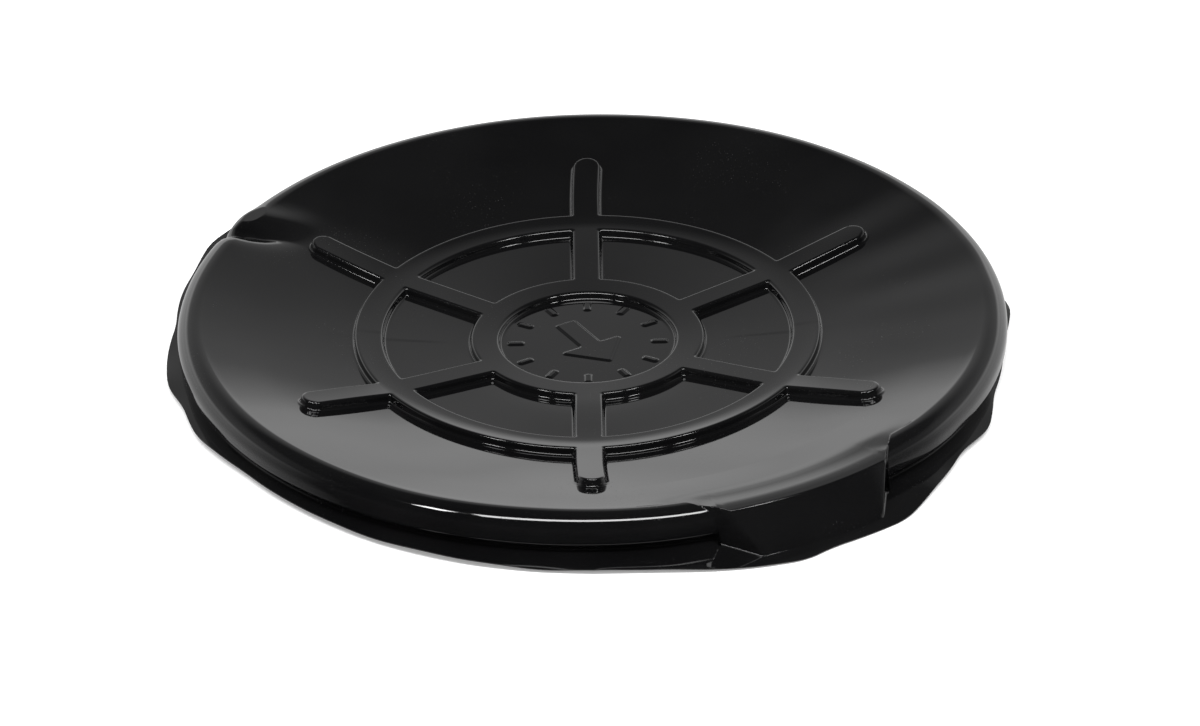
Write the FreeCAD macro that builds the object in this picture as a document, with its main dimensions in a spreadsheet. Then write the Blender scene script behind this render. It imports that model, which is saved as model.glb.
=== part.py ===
import FreeCAD, Part

import math
import os
import re

import Sketcher

# A round press-on lid for an open-head drum, formed from one thin plastic sheet. The sheet is
# built here as its form zones: hub, ribs, floor panels, dish, rim bead, snap groove, trimmed
# flange and finger tab. Millimetres, +Z up. The origin is the middle of the hub's underside,
# the lowest face, which the lid lies on. One spoke points along +Y.

# Driving dimensions: alias, value, meaning.
DIMENSIONS = [
    ("sheet_thickness", 0.8, "formed sheet, everywhere"),
    ("bead_radius", 302.0, "outside of the rim bead"),
    ("overall_height", 34.3, "top of the rim crest above the hub's underside"),
    ("bead_round", 17.0, "radius of the bead's rounded top"),
    ("crest_angle", 17.0, "slope of the dish where it meets the bead, degrees"),
    ("dish_curve_radius", 790.0, "radius of the dish's shallow arc in section"),
    ("groove_radius", 296.0, "outside of the snap groove under the bead"),
    ("groove_height", 7.5, "level of the snap groove's narrowest place"),
    ("groove_drop", 2.3, "straight drop between the bead's rounding and the groove"),
    ("arc_gap", 0.04, "hairline between the arcs that the groove and flange are modelled in"),
    ("flange_slope", 0.15, "fall of the flange for each millimetre outwards"),
    ("flange_radius", 344.0, "flange before it is trimmed"),
    ("inner_ring_radius", 75.0, "middle of the inner ring rib"),
    ("outer_ring_radius", 159.5, "middle of the outer ring rib"),
    ("rib_top_width", 19.5, "flat top of every rib"),
    ("rib_foot_width", 22.4, "every rib across its feet"),
    ("rib_height", 5.8, "rib top above the floor beside it"),
    ("wheel_slope", 0.08, "rise of floors and rib tops for each millimetre outwards"),
    ("spoke_end_radius", 236.0, "outer end of each spoke's top"),
    ("spoke_end_height", 27.9, "spoke top at its outer end"),
    ("tab_top_radius", 307.3, "outer edge of the finger tab's roof"),
    ("tab_foot_radius", 317.0, "foot of the finger tab's outer wall"),
    ("tab_apex_distance", 386.6, "where the tab's two side planes would meet"),
    ("tab_half_angle", 36.5, "each side plane to the tab's own axis, degrees"),
    ("tab_azimuth", -60.0, "direction of the finger tab, degrees"),
    ("mark_height", 1.0, "raised hub mark above the hub floor"),
    ("mark_ring_radius", 54.0, "middle of the ring of dashes on the hub"),
    ("dash_length", 12.0, "each dash, along its radius"),
    ("dash_width", 3.0, "each dash, across"),
    ("arrow_length", 66.0, "hub arrow from tail to tip"),
    ("arrow_head", 26.0, "hub arrow's head, along and half across"),
    ("arrow_shaft", 12.0, "hub arrow's shaft, across"),
]
SPOKES = 6
FIRST_SPOKE = 30.0
DASHES = 12
MARGIN = 10.0
TAB_SWEEP = 50.0

# The flange is trimmed by hand, so its outline is uneven: each pair is a direction measured
# from the finger tab, in degrees, and the distance out from the groove, in millimetres.
FLANGE_OUTLINE = [
    (0, 37), (11, 39), (18, 28), (27, 17), (34, 20), (42, 9), (56, 7), (66, 17), (73, 9),
    (86, 16), (101, 11), (118, 21), (135, 12), (150, 19), (164, 12), (184, 32), (197, 30),
    (204, 25), (212, 34), (220, 22), (228, 18), (235, 7), (242, 10), (251, 13), (257, 8),
    (265, 12), (277, 7), (289, 10), (300, 14), (314, 18), (328, 20), (340, 26), (350, 37),
    (356, 42),
]

document = FreeCAD.newDocument("drum_lid")
sheet = document.addObject("Spreadsheet::Sheet", "Dimensions")
for row, (alias, size, meaning) in enumerate(DIMENSIONS, start=1):
    sheet.set(f"A{row}", alias)
    sheet.set(f"B{row}", str(size))
    sheet.set(f"C{row}", meaning)
    sheet.setAlias(f"B{row}", alias)
document.recompute()
ALIASES = re.compile(r"\b(" + "|".join(alias for alias, _, _ in DIMENSIONS) + r")\b")


def bound(formula):
    """A formula in dimension names, written as an expression on the sheet's cells."""
    return ALIASES.sub(r"Dimensions.\1", str(formula))


def number(formula):
    """The formula's value for the sheet's present cells."""
    return float(sheet.evalExpression(bound(formula)))


# Formulas for places on the sheet, each a string that setExpression can hold.
def rib_top(radius):
    return f"(sheet_thickness + rib_height + wheel_slope * ({radius} - inner_ring_radius))"


def floor_top(radius):
    return f"({rib_top(radius)} - rib_height)"


def inside(ring):
    return f"({ring} - rib_top_width / 2)", f"({ring} - rib_foot_width / 2)"


def outside(ring):
    return f"({ring} + rib_top_width / 2)", f"({ring} + rib_foot_width / 2)"


RING_IN = "inner_ring_radius"
RING_OUT = "outer_ring_radius"
DISH_START = outside(RING_OUT)[1]
CREST_RADIUS = "(bead_radius - bead_round - bead_round * sin(crest_angle))"
CREST_HEIGHT = "(overall_height - bead_round + bead_round * cos(crest_angle))"
BEAD_LEVEL = "(overall_height - bead_round)"
BEAD_CENTRE = "(bead_radius - bead_round)"
GROOVE_START = f"({BEAD_LEVEL} - groove_drop)"
SPOKE_RISE = (
    f"((spoke_end_height - {rib_top(outside(RING_OUT)[0])})"
    f" / (spoke_end_radius - {outside(RING_OUT)[0]}))"
)
SPOKE_TURN = "(spoke_end_radius - rib_top_width / 2)"


def spoke_top(radius):
    return f"(spoke_end_height + {SPOKE_RISE} * ({radius} - spoke_end_radius))"


def dish_top(radius):
    """Height of the straight line from the dish's start to the crest."""
    start = floor_top(DISH_START)
    rise = f"({CREST_HEIGHT} - {start}) / ({CREST_RADIUS} - {DISH_START})"
    return f"({start} + ({radius} - {DISH_START}) * {rise})"


def flange_top(radius):
    return f"(groove_height - flange_slope * ({radius} - groove_radius))"


def lowered(height):
    return f"({height} - sheet_thickness)"


def origin_item(body, role):
    return next(item for item in body.Origin.OriginFeatures if item.Role == role)


def new_body(label, azimuth=0.0):
    body = document.addObject("PartDesign::Body", label)
    body.Label = label
    body.AllowCompound = True
    turn = FreeCAD.Rotation(FreeCAD.Vector(0, 0, 1), azimuth)
    body.Placement = FreeCAD.Placement(FreeCAD.Vector(0, 0, 0), turn)
    return body


def arc_through(start, end, radius):
    """The shorter arc from start to end; a positive radius turns left, a negative right."""
    chord = end - start
    middle = (start + end) * 0.5
    left = FreeCAD.Vector(-chord.y, chord.x, 0).normalize()
    reach = math.sqrt(radius**2 - (chord.Length / 2) ** 2)
    centre = middle + left * math.copysign(reach, radius)
    circle = Part.Circle(centre, FreeCAD.Vector(0, 0, 1), abs(radius))
    first, last = (start, end) if radius > 0 else (end, start)
    return Part.ArcOfCircle(circle, circle.parameter(first), circle.parameter(last))


def draw_outline(sketch, corners, arcs=None):
    """A closed outline through the corners, each a pair of formulas.

    arcs maps a corner's number to the radius formula of the arc that leaves it: positive
    turns left, negative turns right.
    """
    arcs = arcs or {}
    points = [FreeCAD.Vector(number(x), number(y), 0) for x, y in corners]
    edges = []
    for index, start in enumerate(points):
        end = points[(index + 1) % len(points)]
        if index in arcs:
            radius = number(arcs[index])
            edge = sketch.addGeometry(arc_through(start, end, radius), False)
            edges.append((edge, 1, 2) if radius > 0 else (edge, 2, 1))
            item = sketch.addConstraint(Sketcher.Constraint("Radius", edge, abs(radius)))
            sketch.setExpression(f"Constraints[{item}]", bound(f"abs({arcs[index]})"))
        else:
            edge = sketch.addGeometry(Part.LineSegment(start, end), False)
            edges.append((edge, 1, 2))
    for index, (edge, first, last) in enumerate(edges):
        following, follower_first, _ = edges[(index + 1) % len(edges)]
        sketch.addConstraint(
            Sketcher.Constraint("Coincident", edge, last, following, follower_first)
        )
        for kind, formula in zip(("DistanceX", "DistanceY"), corners[index]):
            value = number(formula)
            item = sketch.addConstraint(
                Sketcher.Constraint(kind, -1, 1, edge, first, value)
            )
            if not re.fullmatch(r"-?[\d.]+", str(formula)):
                sketch.setExpression(f"Constraints[{item}]", bound(formula))


def new_sketch(body, name, plane, outlines, offset=None):
    """A sketch on one of the body's own origin planes, raised along its normal by offset."""
    sketch = body.newObject("Sketcher::SketchObject", name)
    sketch.AttachmentSupport = [(origin_item(body, plane), "")]
    sketch.MapMode = "FlatFace"
    if offset is not None:
        sketch.AttachmentOffset = FreeCAD.Placement(
            FreeCAD.Vector(0, 0, number(offset)), FreeCAD.Rotation()
        )
        sketch.setExpression("AttachmentOffset.Base.z", bound(offset))
    for outline in outlines:
        draw_outline(sketch, *outline)
    return sketch


def revolve(body, sketch, angle=360.0, cut=False, axis=None):
    kind = "PartDesign::Groove" if cut else "PartDesign::Revolution"
    feature = body.newObject(kind, "Groove" if cut else "Revolution")
    feature.Profile = sketch
    feature.ReferenceAxis = axis or (origin_item(body, "Z_Axis"), [""])
    feature.Angle = angle
    feature.Midplane = angle < 360.0
    document.recompute()
    return feature


def extrude(body, sketch, length, cut=False, direction=None, symmetric=False):
    feature = body.newObject("PartDesign::Pocket" if cut else "PartDesign::Pad", "Extrusion")
    feature.Profile = sketch
    if direction is not None:
        feature.UseCustomVector = True
        feature.Direction = direction
    if symmetric:
        feature.SideType = "Symmetric"
    feature.setExpression("Length", bound(length))
    document.recompute()
    return feature


def repeat_around(body, feature, count):
    pattern = body.newObject("PartDesign::PolarPattern", "Around")
    pattern.Originals = [feature]
    pattern.Axis = (origin_item(body, "Z_Axis"), [""])
    pattern.Angle = 360.0
    pattern.Occurrences = count
    body.Tip = pattern
    document.recompute()


def rib_section(top, foot, roof, floor, low):
    """An upside-down channel section: corners up the left side, over, and back inside."""
    outer_side = [(foot, low), (foot, floor), (top, roof)]
    thinner = "sheet_thickness"
    inner_side = [
        (f"({foot} - {thinner})", low),
        (f"({foot} - {thinner})", floor),
        (f"({top} - {thinner})", lowered(roof)),
    ]
    outer = [(f"-{x}", z) for x, z in outer_side] + outer_side[::-1]
    inner = inner_side + [(f"-{x}", z) for x, z in inner_side[::-1]]
    return outer + inner


HALF_TOP = "rib_top_width / 2"
HALF_FOOT = "rib_foot_width / 2"


def tunnel_section(radius):
    """The hollow of a spoke, which the ring's walls are opened to."""
    half_foot = f"({HALF_FOOT} - sheet_thickness)"
    half_top = f"({HALF_TOP} - sheet_thickness)"
    low = f"({floor_top(radius)} - {MARGIN})"
    side = [(half_foot, low), (half_foot, floor_top(radius)), (half_top, lowered(rib_top(radius)))]
    return side + [(f"-{x}", z) for x, z in side[::-1]]


def hub_plate():
    body = new_body("hub_plate")
    edge = inside(RING_IN)[1]
    plate = [("0", "0"), (edge, "0"), (edge, "sheet_thickness"), ("0", "sheet_thickness")]
    revolve(body, new_sketch(body, "PlateSection", "XZ_Plane", [(plate,)]))
    start = "(mark_ring_radius - dash_length / 2)"
    end = "(mark_ring_radius + dash_length / 2)"
    half = "dash_width / 2"
    dash = [(start, f"-{half}"), (end, f"-{half}"), (end, half), (start, half)]
    sketch = new_sketch(body, "Dash", "XY_Plane", [(dash,)], "sheet_thickness / 2")
    repeat_around(body, extrude(body, sketch, "mark_height + sheet_thickness / 2"), DASHES)
    tip = "arrow_length / 2"
    neck = f"({tip} - arrow_head)"
    arrow_half = [(tip, "0"), (neck, "arrow_head"), (neck, "arrow_shaft / 2")]
    arrow_half.append((f"-{tip}", "arrow_shaft / 2"))
    mirrored = [(x, f"-{y}") for x, y in arrow_half[:0:-1]]
    sketch = new_sketch(body, "Arrow", "XY_Plane", [(arrow_half + mirrored,)],
                        "sheet_thickness / 2")
    extrude(body, sketch, "mark_height + sheet_thickness / 2")
    body.setExpression("Placement.Rotation.Angle", bound("tab_azimuth"))
    return body


def ring_rib(label, ring, inner_floor):
    """A ring rib in section: both walls and the flat top, hollow below."""
    body = new_body(label)
    top_in, foot_in = inside(ring)
    top_out, foot_out = outside(ring)
    floor_out = floor_top(foot_out)
    section = [
        (foot_in, lowered(inner_floor)),
        (foot_in, inner_floor),
        (top_in, rib_top(top_in)),
        (top_out, rib_top(top_out)),
        (foot_out, floor_out),
        (foot_out, lowered(floor_out)),
        (f"({foot_out} - sheet_thickness)", lowered(floor_out)),
        (f"({top_out} - sheet_thickness)", lowered(rib_top(top_out))),
        (f"({top_in} + sheet_thickness)", lowered(rib_top(top_in))),
        (f"({foot_in} + sheet_thickness)", lowered(inner_floor)),
    ]
    revolve(body, new_sketch(body, "RingSection", "XZ_Plane", [(section,)]))
    return body


def open_ring(body, ring, both_walls):
    """Opens the ring's walls where the spokes' hollows run into it."""
    name = "Tunnel"
    sketch = new_sketch(body, name, "YZ_Plane", [(tunnel_section(ring),)], ring)
    direction = FreeCAD.Vector(1, 0, number("wheel_slope"))
    length = "rib_foot_width * 1.2" if both_walls else "rib_foot_width * 0.6"
    tunnel = extrude(body, sketch, length, True, direction, both_walls)
    repeat_around(body, tunnel, SPOKES)
    turn = FreeCAD.Rotation(FreeCAD.Vector(0, 0, 1), FIRST_SPOKE)
    body.Placement = FreeCAD.Placement(FreeCAD.Vector(0, 0, 0), turn)


def wheel_trim():
    """Regions of the section plane that a spoke's inner length is cut back from."""
    top_out, foot_out = outside(RING_IN)
    top_in, foot_in = inside(RING_OUT)
    high = f"(overall_height + {MARGIN})"
    low = f"-{MARGIN}"
    hub_side = [("0", low), (foot_out, low), (foot_out, floor_top(foot_out))]
    hub_side += [(top_out, rib_top(top_out)), (top_out, high), ("0", high)]
    beyond = f"({RING_OUT} + rib_top_width / 4)"
    rim_side = [(foot_in, low), (beyond, low), (beyond, high), (top_in, high)]
    rim_side += [(top_in, rib_top(top_in)), (foot_in, floor_top(foot_in))]
    return [(hub_side,), (rim_side,)]


def dish_trim():
    """The region under the dish and inside the outer ring that a spoke's end is cut back from."""
    top_out, foot_out = outside(RING_OUT)
    low = f"-{MARGIN}"
    far = f"({CREST_RADIUS} + {MARGIN})"
    high = f"(overall_height + {MARGIN})"
    corners = [
        ("0", low),
        (far, low),
        (far, lowered(CREST_HEIGHT)),
        (CREST_RADIUS, lowered(CREST_HEIGHT)),
        (foot_out, lowered(floor_top(foot_out))),
        (foot_out, floor_top(foot_out)),
        (top_out, rib_top(top_out)),
        (top_out, high),
        ("0", high),
    ]
    return [(corners, {3: "-dish_curve_radius"})]


def spoke_rib(index):
    """One spoke: its length between the rings, and its rounded end out on the dish."""
    body = new_body(f"spoke_rib_{index + 1}", FIRST_SPOKE + 360.0 / SPOKES * index)
    start = f"({outside(RING_OUT)[0]} - rib_top_width / 4)"
    sections = []
    for name, place in (("EndRoot", start), ("EndTurn", SPOKE_TURN)):
        floor = dish_top(place)
        section = rib_section(HALF_TOP, HALF_FOOT, spoke_top(place), floor,
                              f"({floor} - {MARGIN})")
        sections.append(new_sketch(body, name, "YZ_Plane", [(section,)], place))
    loft = body.newObject("PartDesign::AdditiveLoft", "EndLength")
    loft.Profile = sections[0]
    loft.Sections = sections[1:]
    loft.Ruled = True
    document.recompute()

    roof = spoke_top(SPOKE_TURN)
    floor = dish_top(SPOKE_TURN)
    low = f"({floor} - {MARGIN})"
    side = [
        (SPOKE_TURN, roof),
        (f"({SPOKE_TURN} + {HALF_TOP})", roof),
        (f"({SPOKE_TURN} + {HALF_FOOT})", floor),
        (f"({SPOKE_TURN} + {HALF_FOOT})", low),
        (f"({SPOKE_TURN} + {HALF_FOOT} - sheet_thickness)", low),
        (f"({SPOKE_TURN} + {HALF_FOOT} - sheet_thickness)", floor),
        (f"({SPOKE_TURN} + {HALF_TOP} - sheet_thickness)", lowered(roof)),
        (SPOKE_TURN, lowered(roof)),
    ]
    cap = new_sketch(body, "EndCap", "XZ_Plane", [(side,)])
    spine = cap.addGeometry(
        Part.LineSegment(
            FreeCAD.Vector(number(SPOKE_TURN), 0, 0),
            FreeCAD.Vector(number(SPOKE_TURN), MARGIN, 0),
        ),
        True,
    )
    for point, height in ((1, 0), (2, MARGIN)):
        item = cap.addConstraint(
            Sketcher.Constraint("DistanceX", -1, 1, spine, point, number(SPOKE_TURN))
        )
        cap.setExpression(f"Constraints[{item}]", bound(SPOKE_TURN))
        cap.addConstraint(Sketcher.Constraint("DistanceY", -1, 1, spine, point, height))
    revolve(body, cap, 180.0, axis=(cap, ["Axis0"]))
    revolve(body, new_sketch(body, "DishTrim", "XZ_Plane", dish_trim()), cut=True)

    floor = floor_top(RING_IN)
    section = rib_section(HALF_TOP, HALF_FOOT, rib_top(RING_IN), floor, lowered(floor))
    sketch = new_sketch(body, "WheelLength", "YZ_Plane", [(section,)], RING_IN)
    direction = FreeCAD.Vector(1, 0, number("wheel_slope"))
    run = f"({RING_OUT} - {RING_IN}) * sqrt(1 + wheel_slope^2)"
    extrude(body, sketch, run, direction=direction)
    revolve(body, new_sketch(body, "WheelTrim", "XZ_Plane", wheel_trim()), cut=True)
    return body


def floor_panel(index):
    """One floor panel between two spokes and the two rings."""
    sector = 360.0 / SPOKES
    body = new_body(f"floor_panel_{index + 1}", FIRST_SPOKE + sector * (index + 0.5))
    start = outside(RING_IN)[1]
    end = inside(RING_OUT)[1]
    section = [
        (start, lowered(floor_top(start))),
        (end, lowered(floor_top(end))),
        (end, floor_top(end)),
        (start, floor_top(start)),
    ]
    revolve(body, new_sketch(body, "FloorSection", "XZ_Plane", [(section,)]), sector)
    apex = f"({HALF_FOOT} / sin({sector / 2}))"
    side_x = f"({apex} + outer_ring_radius * cos({sector / 2}))"
    side_y = f"(outer_ring_radius * sin({sector / 2}))"
    outline = [
        (apex, "0"),
        (side_x, side_y),
        ("0", "outer_ring_radius"),
        (f"-{MARGIN}", "outer_ring_radius"),
        (f"-{MARGIN}", "-outer_ring_radius"),
        ("0", "-outer_ring_radius"),
        (side_x, f"-{side_y}"),
    ]
    sketch = new_sketch(body, "SpokeSides", "XY_Plane", [(outline,)])
    extrude(body, sketch, "overall_height * 2", True, symmetric=True)
    return body


def dish_wall():
    """The dish from the outer ring up to the crest, with a slot under each spoke end."""
    body = new_body("dish_wall", FIRST_SPOKE)
    start_height = floor_top(DISH_START)
    section = [
        (DISH_START, lowered(start_height)),
        (CREST_RADIUS, lowered(CREST_HEIGHT)),
        (CREST_RADIUS, CREST_HEIGHT),
        (DISH_START, start_height),
    ]
    arcs = {0: "dish_curve_radius", 2: "-dish_curve_radius"}
    revolve(body, new_sketch(body, "DishSection", "XZ_Plane", [(section, arcs)]))
    slot = [
        (RING_OUT, f"-{HALF_FOOT}"),
        (SPOKE_TURN, f"-{HALF_FOOT}"),
        (f"({SPOKE_TURN} + {HALF_FOOT})", "0"),
        (SPOKE_TURN, HALF_FOOT),
        (RING_OUT, HALF_FOOT),
    ]
    sketch = new_sketch(body, "SpokeSlot", "XY_Plane", [(slot, {1: HALF_FOOT, 2: HALF_FOOT})])
    repeat_around(body, extrude(body, sketch, "overall_height * 2", True, symmetric=True), SPOKES)
    return body


def tab_side(distance, inset="0"):
    """Half width of the finger tab at a distance out along its own axis."""
    return f"((tab_apex_distance - {distance}) * tan(tab_half_angle) - {inset} / cos(tab_half_angle))"


def tab_side_at(radius):
    """Where the tab's side plane crosses a circle about the lid's axis."""
    across = "(tab_apex_distance * sin(tab_half_angle))"
    along = f"(tab_apex_distance * cos(tab_half_angle) - sqrt({radius}^2 - {across}^2))"
    return (
        f"(tab_apex_distance - {along} * cos(tab_half_angle))",
        f"({along} * sin(tab_half_angle))",
    )


def cut_for_tab(body):
    """Takes the finger tab's place out of a body that runs all the way round."""
    side_x, side_y = tab_side_at("tab_foot_radius")
    inner_x, inner_y = tab_side_at(BEAD_CENTRE)
    outline = [
        (side_x, side_y),
        (inner_x, inner_y),
        (inner_x, f"-{inner_y}"),
        (side_x, f"-{side_y}"),
    ]
    arcs = {1: f"-{BEAD_CENTRE}", 3: "tab_foot_radius"}
    sketch = new_sketch(body, "TabPlace", "XY_Plane", [(outline, arcs)])
    extrude(body, sketch, "overall_height * 2.5", True, symmetric=True)


def rim_bead():
    body = new_body("rim_bead", number("tab_azimuth"))
    inner_round = "(bead_round - sheet_thickness)"
    section = [
        ("bead_radius", BEAD_LEVEL),
        (CREST_RADIUS, CREST_HEIGHT),
        (
            f"({BEAD_CENTRE} - {inner_round} * sin(crest_angle))",
            f"({BEAD_LEVEL} + {inner_round} * cos(crest_angle))",
        ),
        ("(bead_radius - sheet_thickness)", BEAD_LEVEL),
    ]
    arcs = {0: "bead_round", 2: f"-{inner_round}"}
    revolve(body, new_sketch(body, "BeadSection", "XZ_Plane", [(section, arcs)]))
    cut_for_tab(body)
    return body


def cut_into_arcs(body):
    """Hairline cuts at every 45 degrees. The object has none: they let collision follow the ring."""
    near, far = "(groove_radius - 20)", f"(flange_radius + {MARGIN})"
    loops = []
    for index in range(8):
        turn = 22.5 + 45 * index
        loops.append(([
            (f"{reach} * cos({turn}) - {side} * arc_gap / 2 * sin({turn})",
             f"{reach} * sin({turn}) + {side} * arc_gap / 2 * cos({turn})")
            for reach, side in ((near, -1), (far, -1), (far, 1), (near, 1))
        ],))
    sketch = new_sketch(body, "ArcCuts", "XY_Plane", loops)
    extrude(body, sketch, "overall_height * 2", True, symmetric=True)


def snap_groove():
    """The undercut that holds the lid under the drum's curl."""
    body = new_body("snap_groove", number("tab_azimuth"))
    section = [
        ("bead_radius", BEAD_LEVEL),
        ("(bead_radius - sheet_thickness)", BEAD_LEVEL),
        ("(bead_radius - sheet_thickness)", GROOVE_START),
        ("(groove_radius - sheet_thickness)", "groove_height"),
        ("groove_radius", "groove_height"),
        ("bead_radius", GROOVE_START),
    ]
    revolve(body, new_sketch(body, "GrooveSection", "XZ_Plane", [(section,)]))
    cut_for_tab(body)
    cut_into_arcs(body)
    return body


def trim_flange():
    """The thin skirt that is left below the groove, with its uneven trimmed edge."""
    body = new_body("trim_flange", number("tab_azimuth"))
    root = "(groove_radius - sheet_thickness)"
    section = [
        (root, "groove_height"),
        (root, lowered("groove_height")),
        ("flange_radius", lowered(flange_top("flange_radius"))),
        ("flange_radius", flange_top("flange_radius")),
        ("groove_radius", "groove_height"),
    ]
    revolve(body, new_sketch(body, "FlangeSection", "XZ_Plane", [(section,)]))
    trimmed = [
        (f"(groove_radius + {reach}) * cos({azimuth})", f"(groove_radius + {reach}) * sin({azimuth})")
        for azimuth, reach in FLANGE_OUTLINE
    ]
    far = f"(flange_radius + {MARGIN})"
    frame = [(far, f"-{far}"), (far, far), (f"-{far}", far), (f"-{far}", f"-{far}")]
    sketch = new_sketch(body, "TrimLine", "XY_Plane", [(frame,), (trimmed,)])
    extrude(body, sketch, "overall_height * 2", True, symmetric=True)
    cut_for_tab(body)
    cut_into_arcs(body)
    return body


def tab_solid(label, section, arcs, inset):
    """A turned block with the tab's section, cut back to the tab's two side planes."""
    body = new_body(label)
    revolve(body, new_sketch(body, "TabSection", "XZ_Plane", [(section, arcs)]), TAB_SWEEP)
    near = f"({CREST_RADIUS} - {MARGIN} * 4)"
    far = "(tab_foot_radius + 5)"
    side = [
        (near, tab_side(near, inset)),
        (far, tab_side(far, inset)),
        (far, "bead_radius"),
        (near, "bead_radius"),
    ]
    other = [(x, f"-{y}") for x, y in side]
    sketch = new_sketch(body, "TabSides", "XY_Plane", [(side,), (other,)])
    extrude(body, sketch, "overall_height * 2.5", True, symmetric=True)
    return body


def finger_tab():
    """The squared pocket over the rim that fingers pull the lid off by."""
    thinner_round = "(bead_round - sheet_thickness)"
    block_section = [
        (BEAD_CENTRE, lowered("overall_height")),
        ("(bead_radius - sheet_thickness)", BEAD_LEVEL),
        ("(bead_radius - sheet_thickness)", GROOVE_START),
        ("(groove_radius - sheet_thickness)", "groove_height"),
        ("groove_radius", "groove_height"),
        ("tab_foot_radius", flange_top("tab_foot_radius")),
        ("tab_top_radius", "overall_height"),
        (BEAD_CENTRE, "overall_height"),
    ]
    block = tab_solid("tab_block", block_section, {0: f"-{thinner_round}"}, "0")
    near = f"({BEAD_CENTRE} - {MARGIN})"
    low = f"-{MARGIN}"
    hollow_section = [
        (near, lowered("overall_height")),
        (near, low),
        ("(tab_foot_radius - sheet_thickness)", low),
        ("(tab_foot_radius - sheet_thickness)", flange_top("tab_foot_radius")),
        ("(tab_top_radius - sheet_thickness)", lowered("overall_height")),
    ]
    hollow = tab_solid("tab_hollow", hollow_section, {}, "sheet_thickness")
    tab = document.addObject("Part::Cut", "finger_tab")
    tab.Base = block
    tab.Tool = hollow
    turn_to = FreeCAD.Rotation(FreeCAD.Vector(0, 0, 1), number("tab_azimuth"))
    tab.Placement = FreeCAD.Placement(FreeCAD.Vector(0, 0, 0), turn_to)
    document.recompute()
    return tab


parts = [hub_plate()]
for ring_label, ring_alias in (("inner_ring_rib", RING_IN), ("outer_ring_rib", RING_OUT)):
    outer = ring_alias == RING_OUT
    floor_formula = floor_top(inside(ring_alias)[1]) if outer else "sheet_thickness"
    ring_body = ring_rib(ring_label, ring_alias, floor_formula)
    open_ring(ring_body, ring_alias, outer)
    parts.append(ring_body)
parts += [spoke_rib(index) for index in range(SPOKES)]
parts += [floor_panel(index) for index in range(SPOKES)]
parts += [dish_wall(), rim_bead(), snap_groove(), trim_flange(), finger_tab()]
document.recompute()

for item in document.Objects:
    problems = {"Invalid", "Error"} & set(item.State)
    if problems:
        raise RuntimeError(f"{item.Label}: {sorted(problems)}")
for part in parts:
    if part.Shape.isNull() or not part.Shape.isValid() or not part.Shape.Solids:
        raise RuntimeError(f"{part.Label}: no valid solid")

os.makedirs("parts", exist_ok=True)
for part in parts:
    part.Shape.exportStep(f"parts/{part.Label}.step")
    box = part.Shape.BoundBox
    print(
        f"{part.Label}: {len(part.Shape.Solids)} solid(s), {part.Shape.Volume / 1000:.2f} cm3,"
        f" z {box.ZMin:.2f} to {box.ZMax:.2f}"
    )
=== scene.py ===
import math

import bpy
import numpy as np
from mathutils import Matrix, Vector
from mathutils.geometry import delaunay_2d_cdt


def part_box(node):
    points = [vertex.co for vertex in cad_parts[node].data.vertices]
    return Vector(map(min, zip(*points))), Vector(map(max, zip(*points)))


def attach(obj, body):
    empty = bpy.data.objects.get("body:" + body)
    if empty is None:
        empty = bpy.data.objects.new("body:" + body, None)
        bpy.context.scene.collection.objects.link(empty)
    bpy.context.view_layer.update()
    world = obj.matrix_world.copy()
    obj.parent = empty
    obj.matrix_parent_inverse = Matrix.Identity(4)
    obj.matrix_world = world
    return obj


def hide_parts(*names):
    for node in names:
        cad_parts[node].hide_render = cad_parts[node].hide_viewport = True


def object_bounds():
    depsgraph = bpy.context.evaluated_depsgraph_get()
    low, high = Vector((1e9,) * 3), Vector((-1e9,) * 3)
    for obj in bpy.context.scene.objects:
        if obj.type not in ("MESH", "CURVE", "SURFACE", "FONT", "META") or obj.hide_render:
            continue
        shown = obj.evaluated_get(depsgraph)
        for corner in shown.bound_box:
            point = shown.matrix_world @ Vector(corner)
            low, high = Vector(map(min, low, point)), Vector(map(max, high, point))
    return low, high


# A press-on drum lid formed from one glossy black sheet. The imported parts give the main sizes.
# The sheet is built here as one continuous surface, in millimetres, and then cut into five meshes
# whose edges and normals match, so that no seam shows. Blender gets metres.

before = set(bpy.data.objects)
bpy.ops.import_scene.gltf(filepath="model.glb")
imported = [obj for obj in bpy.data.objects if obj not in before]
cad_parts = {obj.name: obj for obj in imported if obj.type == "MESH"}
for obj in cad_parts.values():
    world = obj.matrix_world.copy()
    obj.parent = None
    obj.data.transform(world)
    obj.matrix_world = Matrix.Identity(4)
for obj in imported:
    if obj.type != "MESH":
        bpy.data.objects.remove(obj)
cad_low, cad_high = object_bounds()
MM = 0.001


def radius_of(node):
    """Outer radius of a round node, in millimetres."""
    low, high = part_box(node)
    return (high.x - low.x) / 2 / MM


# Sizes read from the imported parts.
SHEET = (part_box("hub_plate")[1].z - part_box("hub_plate")[0].z) / MM - 1.0
HUB_FOOT = radius_of("hub_plate")
INNER_FOOT = radius_of("inner_ring_rib")
OUTER_FOOT = radius_of("outer_ring_rib")
BEAD_RADIUS = radius_of("rim_bead")
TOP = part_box("rim_bead")[1].z / MM
GROOVE_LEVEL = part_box("snap_groove")[0].z / MM

# Ribs: every rib has the same width at its flat top and at its feet.
FOOT_HALF = (INNER_FOOT - HUB_FOOT) / 2
TOP_HALF = FOOT_HALF - 1.45
RING_IN = (INNER_FOOT + HUB_FOOT) / 2
RING_OUT = OUTER_FOOT - FOOT_HALF
RIB_HEIGHT = 5.8
FILLET = 2.2
PLAN_FILLET = 2.2
WHEEL_SLOPE = 0.08
SPOKES = 6
SPOKE_STEP = 360.0 / SPOKES
FIRST_SPOKE = 30.0
SPOKE_END = 236.0
SPOKE_END_HEIGHT = 27.9
SPOKE_TURN = SPOKE_END - TOP_HALF
ROOF_BEND = (152.0, 170.0)

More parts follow.
